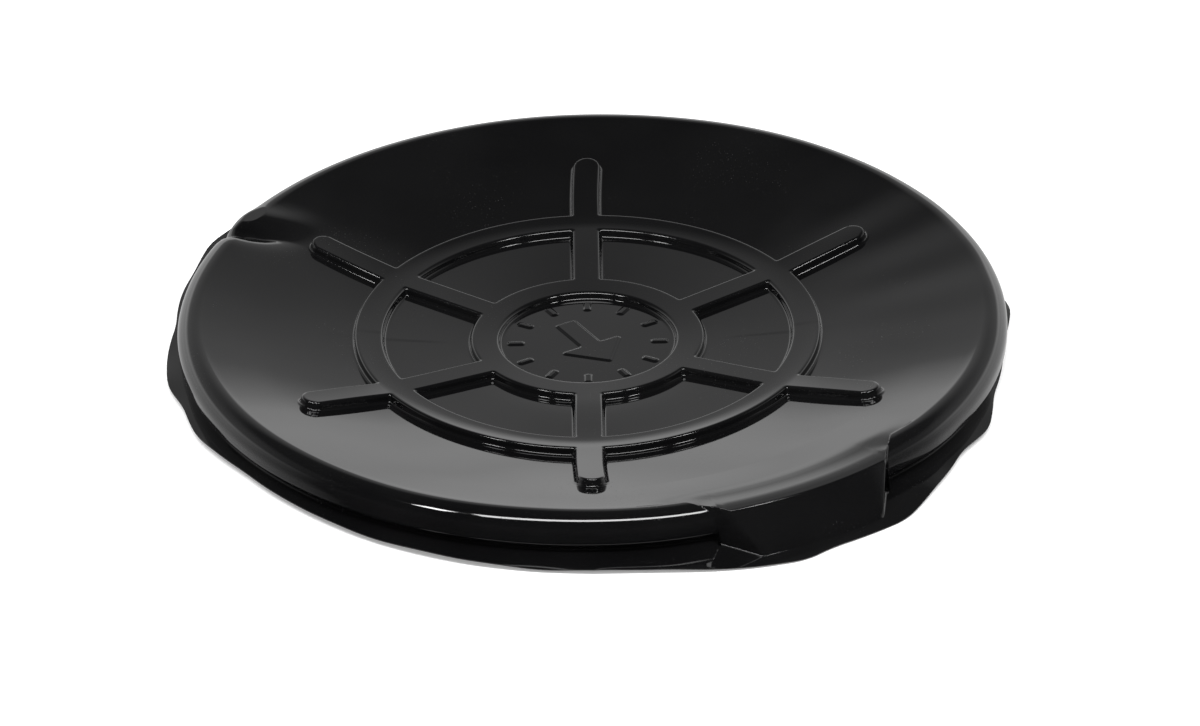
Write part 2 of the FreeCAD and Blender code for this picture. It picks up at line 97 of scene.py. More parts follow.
# Rim: dish, rolled bead, snap groove and flange. The bead's rounding, the crest's slope, the
# dish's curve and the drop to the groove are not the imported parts'. They were set so that the
# gloss mirrors what it does in the photograph, and they move the dish and bead by up to 1.5 mm.
BEAD_ROUND = 13.7
BEAD_LEVEL = TOP - BEAD_ROUND
BEAD_CENTRE = BEAD_RADIUS - BEAD_ROUND
CREST_ANGLE = math.radians(14.5)
CREST_RADIUS = BEAD_CENTRE - BEAD_ROUND * math.sin(CREST_ANGLE)
CREST_HEIGHT = BEAD_LEVEL + BEAD_ROUND * math.cos(CREST_ANGLE)
DISH_CURVE = 1500.0
DISH_LIFT = 0.6
GROOVE_RADIUS = BEAD_RADIUS - 6.0
GROOVE_DROP = 5.6
FLANGE_SLOPE = 0.15

# Finger tab: a squared block over the rim, with two side planes that close in outwards.
TAB_AZIMUTH = -60.0
TAB_TOP = 307.3
TAB_FOOT = 325.0
TAB_APEX = 386.6
TAB_HALF_ANGLE = math.radians(36.5)
TAB_FADE = (13.0, 24.0)
TAB_WALL_START = CREST_RADIUS - 0.5
TAB_SLOPES = [
    (240.0, 0.245), (270.0, 0.235), (279.0, 0.11), (286.0, 0.11), (296.0, 0.17), (312.0, 0.17),
]

# The flange's hand-trimmed outline: direction from the tab, reach out from the groove. Where the
# bead hides the flange, behind, the points are guesses.
FLANGE_OUTLINE = [
    (0, 37), (11, 39), (18, 28), (27, 17), (34, 20), (42, 9), (56, 7), (66, 17), (73, 9),
    (86, 16), (101, 11), (118, 21), (135, 12), (150, 19), (164, 12), (184, 26), (197, 24),
    (204, 20), (212, 24), (220, 16), (228, 12), (235, 7), (242, 10), (251, 13), (257, 8),
    (265, 12), (277, 7), (289, 10), (300, 14), (314, 18), (328, 20), (340, 26), (350, 37),
    (356, 42),
]

# Uneven forming. The rim sits off centre: all of it to the right, its far half also backwards.
SHIFT_RIGHT = 3.6
SHIFT_BACK = 4.5
SAG_DEPTH = 2.2
CREASE_AZIMUTH = 156.0
CREASE_DEPTH = 7.0
RAISED_AZIMUTH = 143.0
RAISED_SPREAD = 14.0
RAISED_HEIGHT = 7.0

# Rows and lanes of the surface's grid.
FLANGE_ROWS = 12
SEAMS = {"hub": 60.7, "inner_wheel": 117.0, "outer_wheel": 175.0, "dish": 262.0}


def smoothstep(low, high, x):
    t = np.clip((x - low) / (high - low), 0.0, 1.0)
    return t * t * (3 - 2 * t)


def turn_between(azimuth, other):
    """Signed turn from other to azimuth, in degrees, from -180 to 180."""
    return (azimuth - other + 180.0) % 360.0 - 180.0


# ---------------------------------------------------------------- heights of the sheet

def roof_height(radius):
    """Top of the ribs, which bends up where the spokes run out onto the dish."""
    start, end = ROOF_BEND
    span = end - start
    base = SHEET + RIB_HEIGHT - WHEEL_SLOPE * RING_IN
    steeper = (SPOKE_END_HEIGHT - base - WHEEL_SLOPE * SPOKE_END) / (SPOKE_END - start - span / 2)
    inside = np.clip(radius - start, 0, span)
    beyond = np.maximum(radius - end, 0)
    return base + WHEEL_SLOPE * radius + steeper * (inside**2 / (2 * span) + beyond)


def dish_height(radius):
    """The dish's shallow arc, from the outer ring's foot to the crest."""
    start = np.array((OUTER_FOOT, DISH_LIFT + SHEET + WHEEL_SLOPE * (OUTER_FOOT - RING_IN)))
    end = np.array((CREST_RADIUS, CREST_HEIGHT))
    chord = end - start
    length = math.hypot(*chord)
    left = np.array((-chord[1], chord[0])) / length
    centre = (start + end) / 2 + left * math.sqrt(DISH_CURVE**2 - length**2 / 4)
    return centre[1] - np.sqrt(DISH_CURVE**2 - (radius - centre[0]) ** 2)


def bead_height(radius):
    across = np.clip(radius - BEAD_CENTRE, -BEAD_ROUND, BEAD_ROUND)
    return BEAD_LEVEL + np.sqrt(np.maximum(BEAD_ROUND**2 - across**2, 0.0))


def tab_roof_height(radius):
    """The tab's roof: up the dish to a faint ridge, gentler past it, then steeper to its edge."""
    places = np.linspace(TAB_SLOPES[0][0], TAB_SLOPES[-1][0], 289)
    slopes = np.interp(places, *zip(*TAB_SLOPES))
    step = places[1] - places[0]
    climbed = np.concatenate(([0.0], np.cumsum((slopes[1:] + slopes[:-1]) / 2 * step)))
    heights = float(dish_height(places[0])) + climbed
    return np.minimum(np.interp(radius, places, heights), TOP)


def tab_share(azimuth):
    """1 over the finger tab, 0 away from it."""
    return 1.0 - smoothstep(*TAB_FADE, np.abs(turn_between(azimuth, TAB_AZIMUTH)))


def shell_height(radius, azimuth):
    """Dish and bead without ribs, up to the bead's outermost radius."""
    plain = np.where(radius < CREST_RADIUS, dish_height(radius), bead_height(radius))
    share = tab_share(azimuth) * (radius > TAB_SLOPES[0][0])
    return plain + (tab_roof_height(radius) - plain) * share


def floor_height(radius, azimuth):
    panel = SHEET + WHEEL_SLOPE * (radius - RING_IN)
    floor = np.where(radius < RING_IN, SHEET, panel)
    return np.where(radius < RING_OUT, floor, shell_height(radius, azimuth))


def smooth_min(a, b, blend):
    share = np.clip(0.5 + (b - a) / (2 * blend), 0.0, 1.0)
    return b + (a - b) * share - blend * share * (1 - share)


def wall_drop(distance, height):
    """How far a rib's surface lies under its roof, at a distance from the rib's middle line."""
    across = FOOT_HALF - TOP_HALF
    slope = np.arctan2(height, across)
    tangent = FILLET * np.tan(slope / 2)
    start = TOP_HALF - tangent
    end = FOOT_HALF + tangent
    top_end = TOP_HALF + tangent * np.cos(slope)
    foot_start = FOOT_HALF - tangent * np.cos(slope)
    upper = FILLET - np.sqrt(np.maximum(FILLET**2 - np.maximum(distance - start, 0) ** 2, 0))
    lower = FILLET - np.sqrt(np.maximum(FILLET**2 - np.maximum(end - distance, 0) ** 2, 0))
    straight = (distance - TOP_HALF) * height / across
    drop = np.where(distance < top_end, upper, straight)
    drop = np.where(distance > foot_start, height - lower, drop)
    return np.where(distance > end, height, drop)


def rib_distance(radius, azimuth):
    """Distance in plan from the nearest rib's middle line."""
    turn = (azimuth - FIRST_SPOKE + SPOKE_STEP / 2) % SPOKE_STEP - SPOKE_STEP / 2
    along = radius * np.cos(np.radians(turn))
    across = radius * np.sin(np.radians(turn))
    spoke = np.hypot(np.maximum(along - SPOKE_TURN, 0), across)
    spoke = np.where(radius < RING_IN, 1e3, spoke)
    ring = np.minimum(np.abs(radius - RING_IN), np.abs(radius - RING_OUT))
    return smooth_min(ring, spoke, PLAN_FILLET)


def sheet_height(radius, azimuth):
    """Top face of the sheet inside the crest."""
    roof = roof_height(radius)
    floor = floor_height(radius, azimuth)
    return roof - wall_drop(rib_distance(radius, azimuth), np.maximum(roof - floor, 0.01))


# ---------------------------------------------------------------- grid lanes and rows

def fillet_places():
    """Distances from a rib's middle line that follow both fillets of its wall."""
    slope = math.atan2(RIB_HEIGHT, FOOT_HALF - TOP_HALF)
    tangent = FILLET * math.tan(slope / 2)
    turns = [slope * step / 4 for step in range(5)]
    upper = [TOP_HALF - tangent + FILLET * math.sin(turn) for turn in turns]
    lower = [FOOT_HALF + tangent - FILLET * math.sin(turn) for turn in turns[::-1]]
    middle = [upper[-1] + (lower[0] - upper[-1]) * share for share in (1 / 3, 2 / 3)]
    return upper + middle + lower


WALL_PLACES = fillet_places()
SPOKE_LANES = [0, 1, 2, 3, 4, 5, 6, 7, 7.9] + WALL_PLACES + [13.6, 14.6, 16.0, 18.2, 20.5]
SPOKE_LANES = [-lane for lane in SPOKE_LANES[:0:-1]] + SPOKE_LANES
LANE_EDGE = SPOKE_LANES[-1]
GAP_LANES = 56


def tab_side_radius(azimuth):
    """Where a direction crosses the nearer of the tab's two side planes."""
    turn = math.radians(abs(turn_between(azimuth, TAB_AZIMUTH)))
    return TAB_APEX * math.sin(TAB_HALF_ANGLE) / math.sin(TAB_HALF_ANGLE + turn)


def tab_turn_at(radius):
    """Turn from the tab's axis at which its side plane crosses a radius, in degrees."""
    return math.degrees(math.asin(TAB_APEX * math.sin(TAB_HALF_ANGLE) / radius) - TAB_HALF_ANGLE)


def tab_lanes():
    """Directions across the finger tab, closer together at its corners, in degrees."""
    top, foot = tab_turn_at(TAB_TOP), tab_turn_at(TAB_FOOT)
    slot = tab_turn_at(BEAD_RADIUS)
    start = tab_turn_at(TAB_WALL_START)
    half = list(np.linspace(0.0, foot - 0.5, 16))
    half += list(np.linspace(foot - 0.25, top + 0.3, 13))
    half += [slot - 0.02, slot + 0.02]
    half += list(np.linspace(slot + 0.3, start, 22))
    half += list(np.linspace(start + 0.4, 24.6, 8))
    return [-turn for turn in half[:0:-1]] + half


def gap_shares(azimuth):
    """Lanes between two spokes, as shares of the room between their own lanes."""
    if abs(turn_between(azimuth, TAB_AZIMUTH)) > 1.0:
        return [(step + 1) / (GAP_LANES + 1) for step in range(GAP_LANES)]
    edge = math.degrees(math.asin(LANE_EDGE / SEAMS["dish"]))
    room = SPOKE_STEP - 2 * edge
    return [(turn + room / 2) / room for turn in tab_lanes()]


def lane_azimuths(radius):
    """Azimuth of every lane at a radius, in degrees, once round."""
    reach = min(radius, SEAMS["dish"])
    azimuths = []
    edge = math.degrees(math.asin(LANE_EDGE / reach))
    for spoke in range(SPOKES):
        middle = FIRST_SPOKE + SPOKE_STEP * spoke
        azimuths += [middle + math.degrees(math.asin(lane / reach)) for lane in SPOKE_LANES]
        room = SPOKE_STEP - 2 * edge
        azimuths += [
            middle + edge + room * share for share in gap_shares(middle + SPOKE_STEP / 2)
        ]
    return np.array(azimuths)


def ring_rows(middle):
    """Radii that follow a ring rib, from one foot to the other."""
    half = [0, 2.5, 5, 7] + WALL_PLACES
    return [middle - place for place in half[:0:-1]] + [middle + place for place in half]


def rows_inside_rim():
    inner, outer = ring_rows(RING_IN), ring_rows(RING_OUT)
    rows = [SEAMS["hub"], SEAMS["hub"] + 0.4] + inner
    start, end = inner[-1], outer[0]
    steps = [0.8, 1.8, 3.2, 5.2, 8.0, 12.0, 16.5, 21.5]
    middle = SEAMS["inner_wheel"]
    rows += [start + step for step in steps] + [middle] + [end - step for step in steps[::-1]]
    rows += outer + [SEAMS["outer_wheel"]]
    rows += [177.0, 179.5, 182.5, 186.0, 190.0, 194.5, 199.0, 203.5, 208.0, 212.0, 215.0]
    rows += list(np.arange(217.0, 242.5, 0.8))
    rows += list(np.linspace(244.0, SEAMS["dish"], 7))
    return rows


# ---------------------------------------------------------------- section of the rim

def flange_reach(azimuth):
    """The trimmed edge's distance out from the groove, smoothed between the outline's points."""
    turns = np.array([turn for turn, _ in FLANGE_OUTLINE] + [360.0])
    reaches = np.array([reach for _, reach in FLANGE_OUTLINE] + [FLANGE_OUTLINE[0][1]])
    at = (azimuth - TAB_AZIMUTH) % 360.0
    spread = np.array((-1.6, -0.8, 0.0, 0.8, 1.6))
    return float(np.mean(np.interp((at + spread) % 360.0, turns, reaches)))


def flange_lift(radius, azimuth):
    """The flange's waves, which grow outwards, and the stretch that stands up behind."""
    out = np.clip((radius - GROOVE_RADIUS) / 30.0, 0, 1.3)
    turn = math.radians(azimuth)
    waves = math.sin(9 * turn + 0.6) + 0.7 * math.sin(17 * turn + 2.1) + 0.4 * math.sin(31 * turn)
    off = turn_between(azimuth, RAISED_AZIMUTH)
    raised = RAISED_HEIGHT * math.exp(-((off / RAISED_SPREAD) ** 2))
    quiet = 1.0 - 0.8 * float(tab_share(azimuth))
    return out * (1.1 * waves * quiet + raised)


def flange_height(radius, azimuth):
    plain = GROOVE_LEVEL - FLANGE_SLOPE * (radius - GROOVE_RADIUS)
    return plain + flange_lift(radius, azimuth)


def along_line(start, end, shares):
    return [(start[0] + (end[0] - start[0]) * s, start[1] + (end[1] - start[1]) * s)
            for s in shares]


def rounded_corner(before, corner, after, size, steps):
    """Points on a curve that rounds a corner, from the side before to the side after."""
    def towards(point):
        gap = math.hypot(point[0] - corner[0], point[1] - corner[1])
        share = min(size, gap * 0.45) / max(gap, 1e-6)
        return (corner[0] + (point[0] - corner[0]) * share,
                corner[1] + (point[1] - corner[1]) * share)
    first, last = towards(before), towards(after)
    points = []
    for step in range(steps):
        s = step / (steps - 1)
        weights = ((1 - s) ** 2, 2 * s * (1 - s), s * s)
        points.append(tuple(
            sum(w * p[axis] for w, p in zip(weights, (first, corner, last))) for axis in (0, 1)
        ))
    return points


def rim_section(azimuth):
    """The rim's top face in one direction, from the dish's seam to the trimmed edge."""
    side = tab_side_radius(azimuth)
    on_tab = abs(turn_between(azimuth, TAB_AZIMUTH)) < 30.0
    side = side if on_tab else 0.0
    edge = min(max(side, TAB_WALL_START), TAB_TOP)
    spread = 0.5 if side < TAB_TOP else 0.0

    def roof(radius):
        shell = float(shell_height(np.array(radius), azimuth))
        on_roof = edge > TAB_WALL_START + 1e-9 and radius > CREST_RADIUS
        return max(shell, float(tab_roof_height(radius))) if on_roof else shell

    top = (edge - spread, roof(edge - spread))
    outer = min(max(side, TAB_TOP), TAB_FOOT)
    if side < TAB_TOP:
        foot_radius = edge + spread
        if foot_radius < BEAD_RADIUS:
            foot = (foot_radius, float(bead_height(foot_radius)))
        else:
            foot = (foot_radius, flange_height(foot_radius, azimuth))
        middle = along_line(top, foot, [0.12])[0]
    else:
        low = flange_height(TAB_FOOT, azimuth)
        share = (outer - TAB_TOP) / (TAB_FOOT - TAB_TOP)
        foot_radius = outer + (0.4 if outer < TAB_FOOT else 0.0)
        foot = (foot_radius, flange_height(foot_radius, azimuth))
        full = (TAB_FOOT, low)
        middle = along_line(top, full, [min(max(share, 0.05), 0.93)])[0]

    section = []
    for s in (0.0, 0.12, 0.24, 0.36, 0.48, 0.6, 0.72, 0.84, 0.93):
        radius = SEAMS["dish"] + (top[0] - 1.6 - SEAMS["dish"]) * s
        section.append((radius, roof(radius)))
    before = (top[0] - 1.6, roof(top[0] - 1.6))
    section.append(before)
    section += rounded_corner(before, top, middle, 1.1, 5)
    section += along_line(section[-1], middle, (0.33, 0.66))
    section += rounded_corner(section[-1], middle, foot, 0.8, 3)

    open_rim = foot[0] < BEAD_RADIUS
    if open_rim:
        start_angle = math.acos(min(max((foot[0] - BEAD_CENTRE) / BEAD_ROUND, -1.0), 1.0))
        angles = [start_angle * (1 - step / 16) for step in range(17)]
        bead = [(BEAD_CENTRE + BEAD_ROUND * math.cos(a), BEAD_LEVEL + BEAD_ROUND * math.sin(a))
                for a in angles]
        under = (BEAD_RADIUS, BEAD_LEVEL - GROOVE_DROP)
        groove = (GROOVE_RADIUS, flange_height(GROOVE_RADIUS, azimuth))
        reach = GROOVE_RADIUS + flange_reach(azimuth)
        edge_point = (reach, flange_height(reach, azimuth))
        section += along_line(section[-1], foot, (0.3, 0.6))
        section += rounded_corner(section[-1], foot, bead[1], 0.8, 4)
        section += bead[1:]
        section += rounded_corner(bead[-1], under, groove, 1.4, 4)
        section += along_line(section[-1], groove, (0.45, 0.8))
        section += rounded_corner(under, groove, edge_point, 1.3, 5)
    else:
        reach = GROOVE_RADIUS + flange_reach(azimuth)
        edge_point = (reach, flange_height(reach, azimuth))
        section += along_line(section[-1], foot, (0.3, 0.6))
        section += rounded_corner(section[-1], foot, edge_point, 1.1, 4)
        start = section[-1][0]
        for step in range(1, 28):
            radius = start + 0.13 * step
            section.append((radius, flange_height(radius, azimuth)))
    start = section[-1][0]
    for step in range(1, 11):
        radius = start + (reach - start) * step / 10
        section.append((radius, flange_height(radius, azimuth)))
    return section


# ---------------------------------------------------------------- the whole surface

def displaced(points, radius, azimuth):
    """Uneven forming: the bead sits off centre, the dish undulates, the wheel sags in front."""
    x, y, z = points[..., 0], points[..., 1], points[..., 2]
    reach = np.maximum(radius[-1] - GROOVE_RADIUS, 1.0)
    beyond = np.clip((radius - GROOVE_RADIUS) / reach, 0.0, 1.0)
    on_flange = np.arange(len(radius))[:, None] >= len(radius) - FLANGE_ROWS
    off_centre = smoothstep(185.0, 290.0, radius) * np.where(on_flange, 1.0 - beyond, 1.0)
    x = x + SHIFT_RIGHT * off_centre * (1.0 - tab_share(azimuth))
    y = y + SHIFT_BACK * off_centre * smoothstep(0.0, 1.0, np.sin(np.radians(azimuth)))
    dish = smoothstep(178.0, 250.0, radius) * (1.0 - 0.6 * smoothstep(280.0, 300.0, radius))
    turn = np.radians(azimuth)
    ripple = 0.45 * np.sin(7 * turn + 0.4) + 0.35 * np.sin(11 * turn + 1.9)
    right = np.exp(-((turn_between(azimuth, 18.0) / 24.0) ** 2))
    ripple = ripple + 0.5 * right * np.sin(np.radians(azimuth * 27.0))
    z = z + (ripple - 1.1) * dish * 0.5
    sunk = smoothstep(95.0, 165.0, radius) * (1.0 - smoothstep(168.0, 262.0, radius))
    z = z - SAG_DEPTH * sunk * np.exp(-((x / 85.0) ** 2)) * (y < 0)
    return np.stack((x, y, z), axis=-1)


def pinched(points, radius, azimuth):
    """The crease where the rim was squeezed, fading out across the dish."""
    line = CREASE_AZIMUTH - 4.0 * smoothstep(300.0, 240.0, radius)
    off = radius * np.sin(np.radians(turn_between(azimuth, line)))
    near = np.abs(turn_between(azimuth, CREASE_AZIMUTH)) < 60.0
    depth = smoothstep(228.0, 292.0, radius) ** 1.5
    width = 12.0 - 5.5 * smoothstep(240.0, 295.0, radius)
    fold = np.exp(-((np.abs(off) / width) ** 1.4)) - 0.3 * np.exp(-(((off + 24.0) / 13.0) ** 2))
    z = points[..., 2] - CREASE_DEPTH * depth * fold * near * (radius < 303.5)
    return np.stack((points[..., 0], points[..., 1], z), axis=-1)


def surface_points():
    """The sheet's top face as a grid: rows outwards, lanes around."""
    rows = rows_inside_rim()
    grid = []
    for radius in rows:
        azimuth = lane_azimuths(radius)
        height = sheet_height(np.full_like(azimuth, radius), azimuth)
        grid.append((np.full_like(azimuth, radius), azimuth, height))
    azimuth = lane_azimuths(SEAMS["dish"])
    sections = np.array([rim_section(value) for value in azimuth])
    for place in range(1, sections.shape[1]):
        grid.append((sections[:, place, 0], azimuth, sections[:, place, 1]))
    radius = np.array([row[0] for row in grid])
    azimuth = np.array([row[1] for row in grid])
    height = np.array([row[2] for row in grid])
    turn = np.radians(azimuth)
    points = np.stack((radius * np.cos(turn), radius * np.sin(turn), height), axis=-1)
    points = displaced(points, radius, azimuth)
    points = pinched(points, radius, azimuth)
    lowest = np.array((cad_low[0] / MM, cad_low[1] / MM, SHEET))
    return rows, np.clip(points, lowest, np.array(cad_high) / MM)


def grid_normals(points):
    """Vertex normals of the grid, each the sum of its faces' normals weighted by area."""
    around = np.roll(points, -1, axis=1)
    first = around[1:] - points[:-1]
    second = points[1:] - around[:-1]
    faces = np.cross(second, first)
    faces = faces * np.sign(np.median(faces[..., 2]))
    normals = np.zeros_like(points)
    for face in (faces, np.roll(faces, 1, axis=1)):
        normals[:-1] += face
        normals[1:] += face
    return normals / np.maximum(np.linalg.norm(normals, axis=-1, keepdims=True), 1e-12)


def edge_wear(points, normals):
    """1 on tightly rounded convex edges of the grid, 0 elsewhere."""
    worn = np.zeros(points.shape[:2])
    for axis in (0, 1):
        step = np.roll(points, -1, axis=axis) - np.roll(points, 1, axis=axis)
        turn = np.roll(normals, -1, axis=axis) - np.roll(normals, 1, axis=axis)
        if axis == 0:
            step[[0, -1]] = 1.0
            turn[[0, -1]] = 0.0
        curve = np.sum(step * turn, axis=-1) / np.maximum(np.sum(step * step, axis=-1), 1e-3)
        worn = np.maximum(worn, smoothstep(0.12, 0.5, curve))
    return worn


def mesh_object(name, vertices, faces, normals, materials, wear, face_materials=None):
    """A closed mesh in metres with its own corner normals; None keeps a face flat."""
    mesh = bpy.data.meshes.new(name)
    mesh.from_pydata((np.asarray(vertices) * MM).tolist(), [], faces)
    mesh.polygons.foreach_set("use_smooth", [True] * len(mesh.polygons))
    corner_normals = []
    for polygon, given in zip(mesh.polygons, normals):
        if given is None:
            corner_normals += [tuple(polygon.normal)] * polygon.loop_total
        else:
            corner_normals += given
    mesh.normals_split_custom_set(corner_normals)
    attribute = mesh.attributes.new("edge", "FLOAT", "POINT")
    attribute.data.foreach_set("value", np.asarray(wear, float).ravel())
    for material in materials:
        mesh.materials.append(material)
    if face_materials is not None:
        mesh.polygons.foreach_set("material_index", face_materials)
    piece = bpy.data.objects.new(name, mesh)
    bpy.context.scene.collection.objects.link(piece)
    return piece


def ring_piece(name, points, normals, wear, materials, cut_edge=False):
    """A closed ring of the sheet between two rows of the grid."""
    rows, lanes = points.shape[:2]
    under = points - normals * SHEET
    vertices = np.concatenate((points.reshape(-1, 3), under.reshape(-1, 3)))
    shift = rows * lanes
    flat_normals = normals.reshape(-1, 3)
    upper = [tuple(n) for n in flat_normals.tolist()]
    lower = [tuple(n) for n in (-flat_normals).tolist()]
    faces, face_normals, slots = [], [], []
    for row in range(rows - 1):
        for lane in range(lanes):
            beside = (lane + 1) % lanes
            a, b = row * lanes + lane, row * lanes + beside
            c, d = a + lanes, b + lanes
            faces.append((a, c, d, b))
            face_normals.append([upper[a], upper[c], upper[d], upper[b]])
            faces.append((a + shift, b + shift, d + shift, c + shift))
            face_normals.append([lower[a], lower[b], lower[d], lower[c]])
            slots += [0, 0]
    last = (rows - 1) * lanes
    for lane in range(lanes):
        beside = (lane + 1) % lanes
        faces.append((lane, beside, beside + shift, lane + shift))
        faces.append((last + beside, last + lane, last + lane + shift, last + beside + shift))
        face_normals += [None, None]
        slots += [0, 1 if cut_edge else 0]
    wear = np.concatenate((wear.ravel(), np.zeros(shift)))
    return mesh_object(name, vertices, faces, face_normals, materials, wear, slots)


# ---------------------------------------------------------------- hub with its generic mark

def rounded_outline(corners, radius, steps=6):
    """A closed outline with its corners rounded, as evenly turned points."""
    points = []
    count = len(corners)
    for index, corner in enumerate(corners):
        here = np.array(corner, float)
        before = np.array(corners[index - 1], float) - here
        after = np.array(corners[(index + 1) % count], float) - here
        lengths = np.linalg.norm(before), np.linalg.norm(after)
        before, after = before / lengths[0], after / lengths[1]
        half = math.acos(float(np.clip(before @ after, -1, 1))) / 2
        reach = min(radius / math.tan(half), 0.45 * min(lengths))
        arc = reach * math.tan(half)
        middle = here + (before + after) / np.linalg.norm(before + after) * arc / math.sin(half)
        start, end = here + before * reach - middle, here + after * reach - middle
        sweep = math.atan2(start[0] * end[1] - start[1] * end[0], float(start @ end))
        for step in range(steps):
            turn = sweep * step / (steps - 1)
            cos, sin = math.cos(turn), math.sin(turn)
            points.append(middle + np.array((start[0] * cos - start[1] * sin,
                                             start[0] * sin + start[1] * cos)))
    return np.array(points)


def outline_normals(points):
    """Outward normals in plan of an outline that runs anticlockwise."""
    along = np.roll(points, -1, axis=0) - np.roll(points, 1, axis=0)
    outward = np.stack((along[:, 1], -along[:, 0]), axis=-1)
    return outward / np.linalg.norm(outward, axis=-1, keepdims=True)


def hub_marks():
    """Outlines of the raised hub mark: an arrow towards the finger tab, and a ring of dashes."""
    turn = math.radians(TAB_AZIMUTH)
    along = np.array((math.cos(turn), math.sin(turn)))
    across = np.array((-math.sin(turn), math.cos(turn)))
    tail, neck, tip, shaft, head = -33.0, 4.0, 33.0, 8.0, 26.0
    arrow = [(tail, -shaft), (neck, -shaft), (neck, -head), (tip, 0.0)]
    arrow += [(neck, head), (neck, shaft), (tail, shaft)]
    outlines = [rounded_outline([along * p + across * q for p, q in arrow], 2.0)]
    dashes, ring, length, width = 12, 52.4, 11.6, 5.0
    for index in range(dashes):
        turn = math.radians(TAB_AZIMUTH + 360.0 / dashes * index)
        along = np.array((math.cos(turn), math.sin(turn)))
        across = np.array((-math.sin(turn), math.cos(turn)))
        half, side = length / 2, width / 2
        box = [(-half, -side), (half, -side), (half, side), (-half, side)]
        outlines.append(rounded_outline([along * (ring + p) + across * q for p, q in box], 1.9))
    return outlines


MARK_HEIGHT = 1.0
MARK_STEPS = [(-1.6, 1.0), (-1.25, 0.97), (-0.85, 0.85), (-0.4, 0.64), (0.0, 0.4), (0.45, 0.18),
              (0.9, 0.05), (1.3, 0.0)]


def hub_piece(rim_points, materials):
    """The hub plate, whose mark is pressed up out of the sheet."""
    lanes = len(rim_points)
    flat = [Vector(p[:2]) for p in rim_points]
    heights = [SHEET] * lanes
    normals = [(0.0, 0.0, 1.0)] * lanes
    edges = [(lane, (lane + 1) % lanes) for lane in range(lanes)]
    shares = [share for _, share in MARK_STEPS]
    offsets = [offset for offset, _ in MARK_STEPS]
    slopes = -np.gradient(shares, offsets) * MARK_HEIGHT
    slopes[0] = slopes[-1] = 0.0
    for outline in hub_marks():
        outward = outline_normals(outline)
        for (offset, share), slope in zip(MARK_STEPS, slopes):
            start, count = len(flat), len(outline)
            loop = outline + outward * offset
            flat += [Vector(p) for p in loop]
            heights += [SHEET + MARK_HEIGHT * share] * count
            length = math.hypot(1.0, slope)
            tilt = slope / length
            normals += [(n[0] * tilt, n[1] * tilt, 1.0 / length) for n in outward]
            edges += [(start + k, start + (k + 1) % count) for k in range(count)]
    made, _, triangles, origins, _, _ = delaunay_2d_cdt(flat, edges, [], 0, 1e-6)
    source = [found[0] for found in origins]
    top = np.array([(v.x, v.y, heights[k]) for v, k in zip(made, source)])
    normal = np.array([normals[k] for k in source])
    under = top - normal * SHEET
    under[:, 2] = np.maximum(under[:, 2], 0.0)
    shift = len(top)
    faces, face_normals = [], []
    tuples = [tuple(n) for n in normal.tolist()]
    lower = [tuple(n) for n in (-normal).tolist()]
    for triangle in triangles:
        a, b, c = triangle
        first, second = top[b] - top[a], top[c] - top[a]
        area = first[0] * second[1] - first[1] * second[0]
        if area < 0:
            b, c = c, b
        faces.append((a, b, c))
        face_normals.append([tuples[a], tuples[b], tuples[c]])
        faces.append((a + shift, c + shift, b + shift))
        face_normals.append([lower[a], lower[c], lower[b]])
    place = {k: index for index, k in enumerate(source)}
    for lane in range(lanes):
        a, b = place[lane], place[(lane + 1) % lanes]
        faces.append((a, a + shift, b + shift, b))
        face_normals.append(None)
    vertices = np.concatenate((top, under))
    raised = (top[:, 2] - SHEET) / MARK_HEIGHT
    wear = np.concatenate((np.where(np.abs(raised - 0.9) < 0.08, 1.0, 0.0), np.zeros(shift)))
    return mesh_object("hub", vertices, faces, face_normals, materials, wear)


# ---------------------------------------------------------------- materials

def node_tree_material(name):
    material = bpy.data.materials.new(name)
    material.use_nodes = True
    tree = material.node_tree
    return material, tree, tree.nodes["Principled BSDF"]


def noise(tree, position, scale, detail=2.0, roughness=0.5, distortion=0.0):
    node = tree.nodes.new("ShaderNodeTexNoise")
    node.inputs["Scale"].default_value = scale
    node.inputs["Detail"].default_value = detail
    node.inputs["Roughness"].default_value = roughness
    node.inputs["Distortion"].default_value = distortion
    tree.links.new(position, node.inputs["Vector"])
    return node.outputs["Fac"]


def mapped(tree, value, low, high, to_low, to_high):
    node = tree.nodes.new("ShaderNodeMapRange")
    node.inputs["From Min"].default_value = low
    node.inputs["From Max"].default_value = high
    node.inputs["To Min"].default_value = to_low
    node.inputs["To Max"].default_value = to_high
    tree.links.new(value, node.inputs["Value"])
    return node.outputs["Result"]


def maths(tree, operation, first, second):
    node = tree.nodes.new("ShaderNodeMath")
    node.operation = operation
    for socket, value in zip(node.inputs, (first, second)):
        if isinstance(value, float):
            socket.default_value = value
        else:
            tree.links.new(value, socket)
    return node.outputs["Value"]


def stretched(tree, position, turn, scale):
    node = tree.nodes.new("ShaderNodeMapping")
    node.inputs["Rotation"].default_value = (0.0, 0.0, turn)
    node.inputs["Scale"].default_value = scale
    tree.links.new(position, node.inputs["Vector"])
    return node.outputs["Vector"]


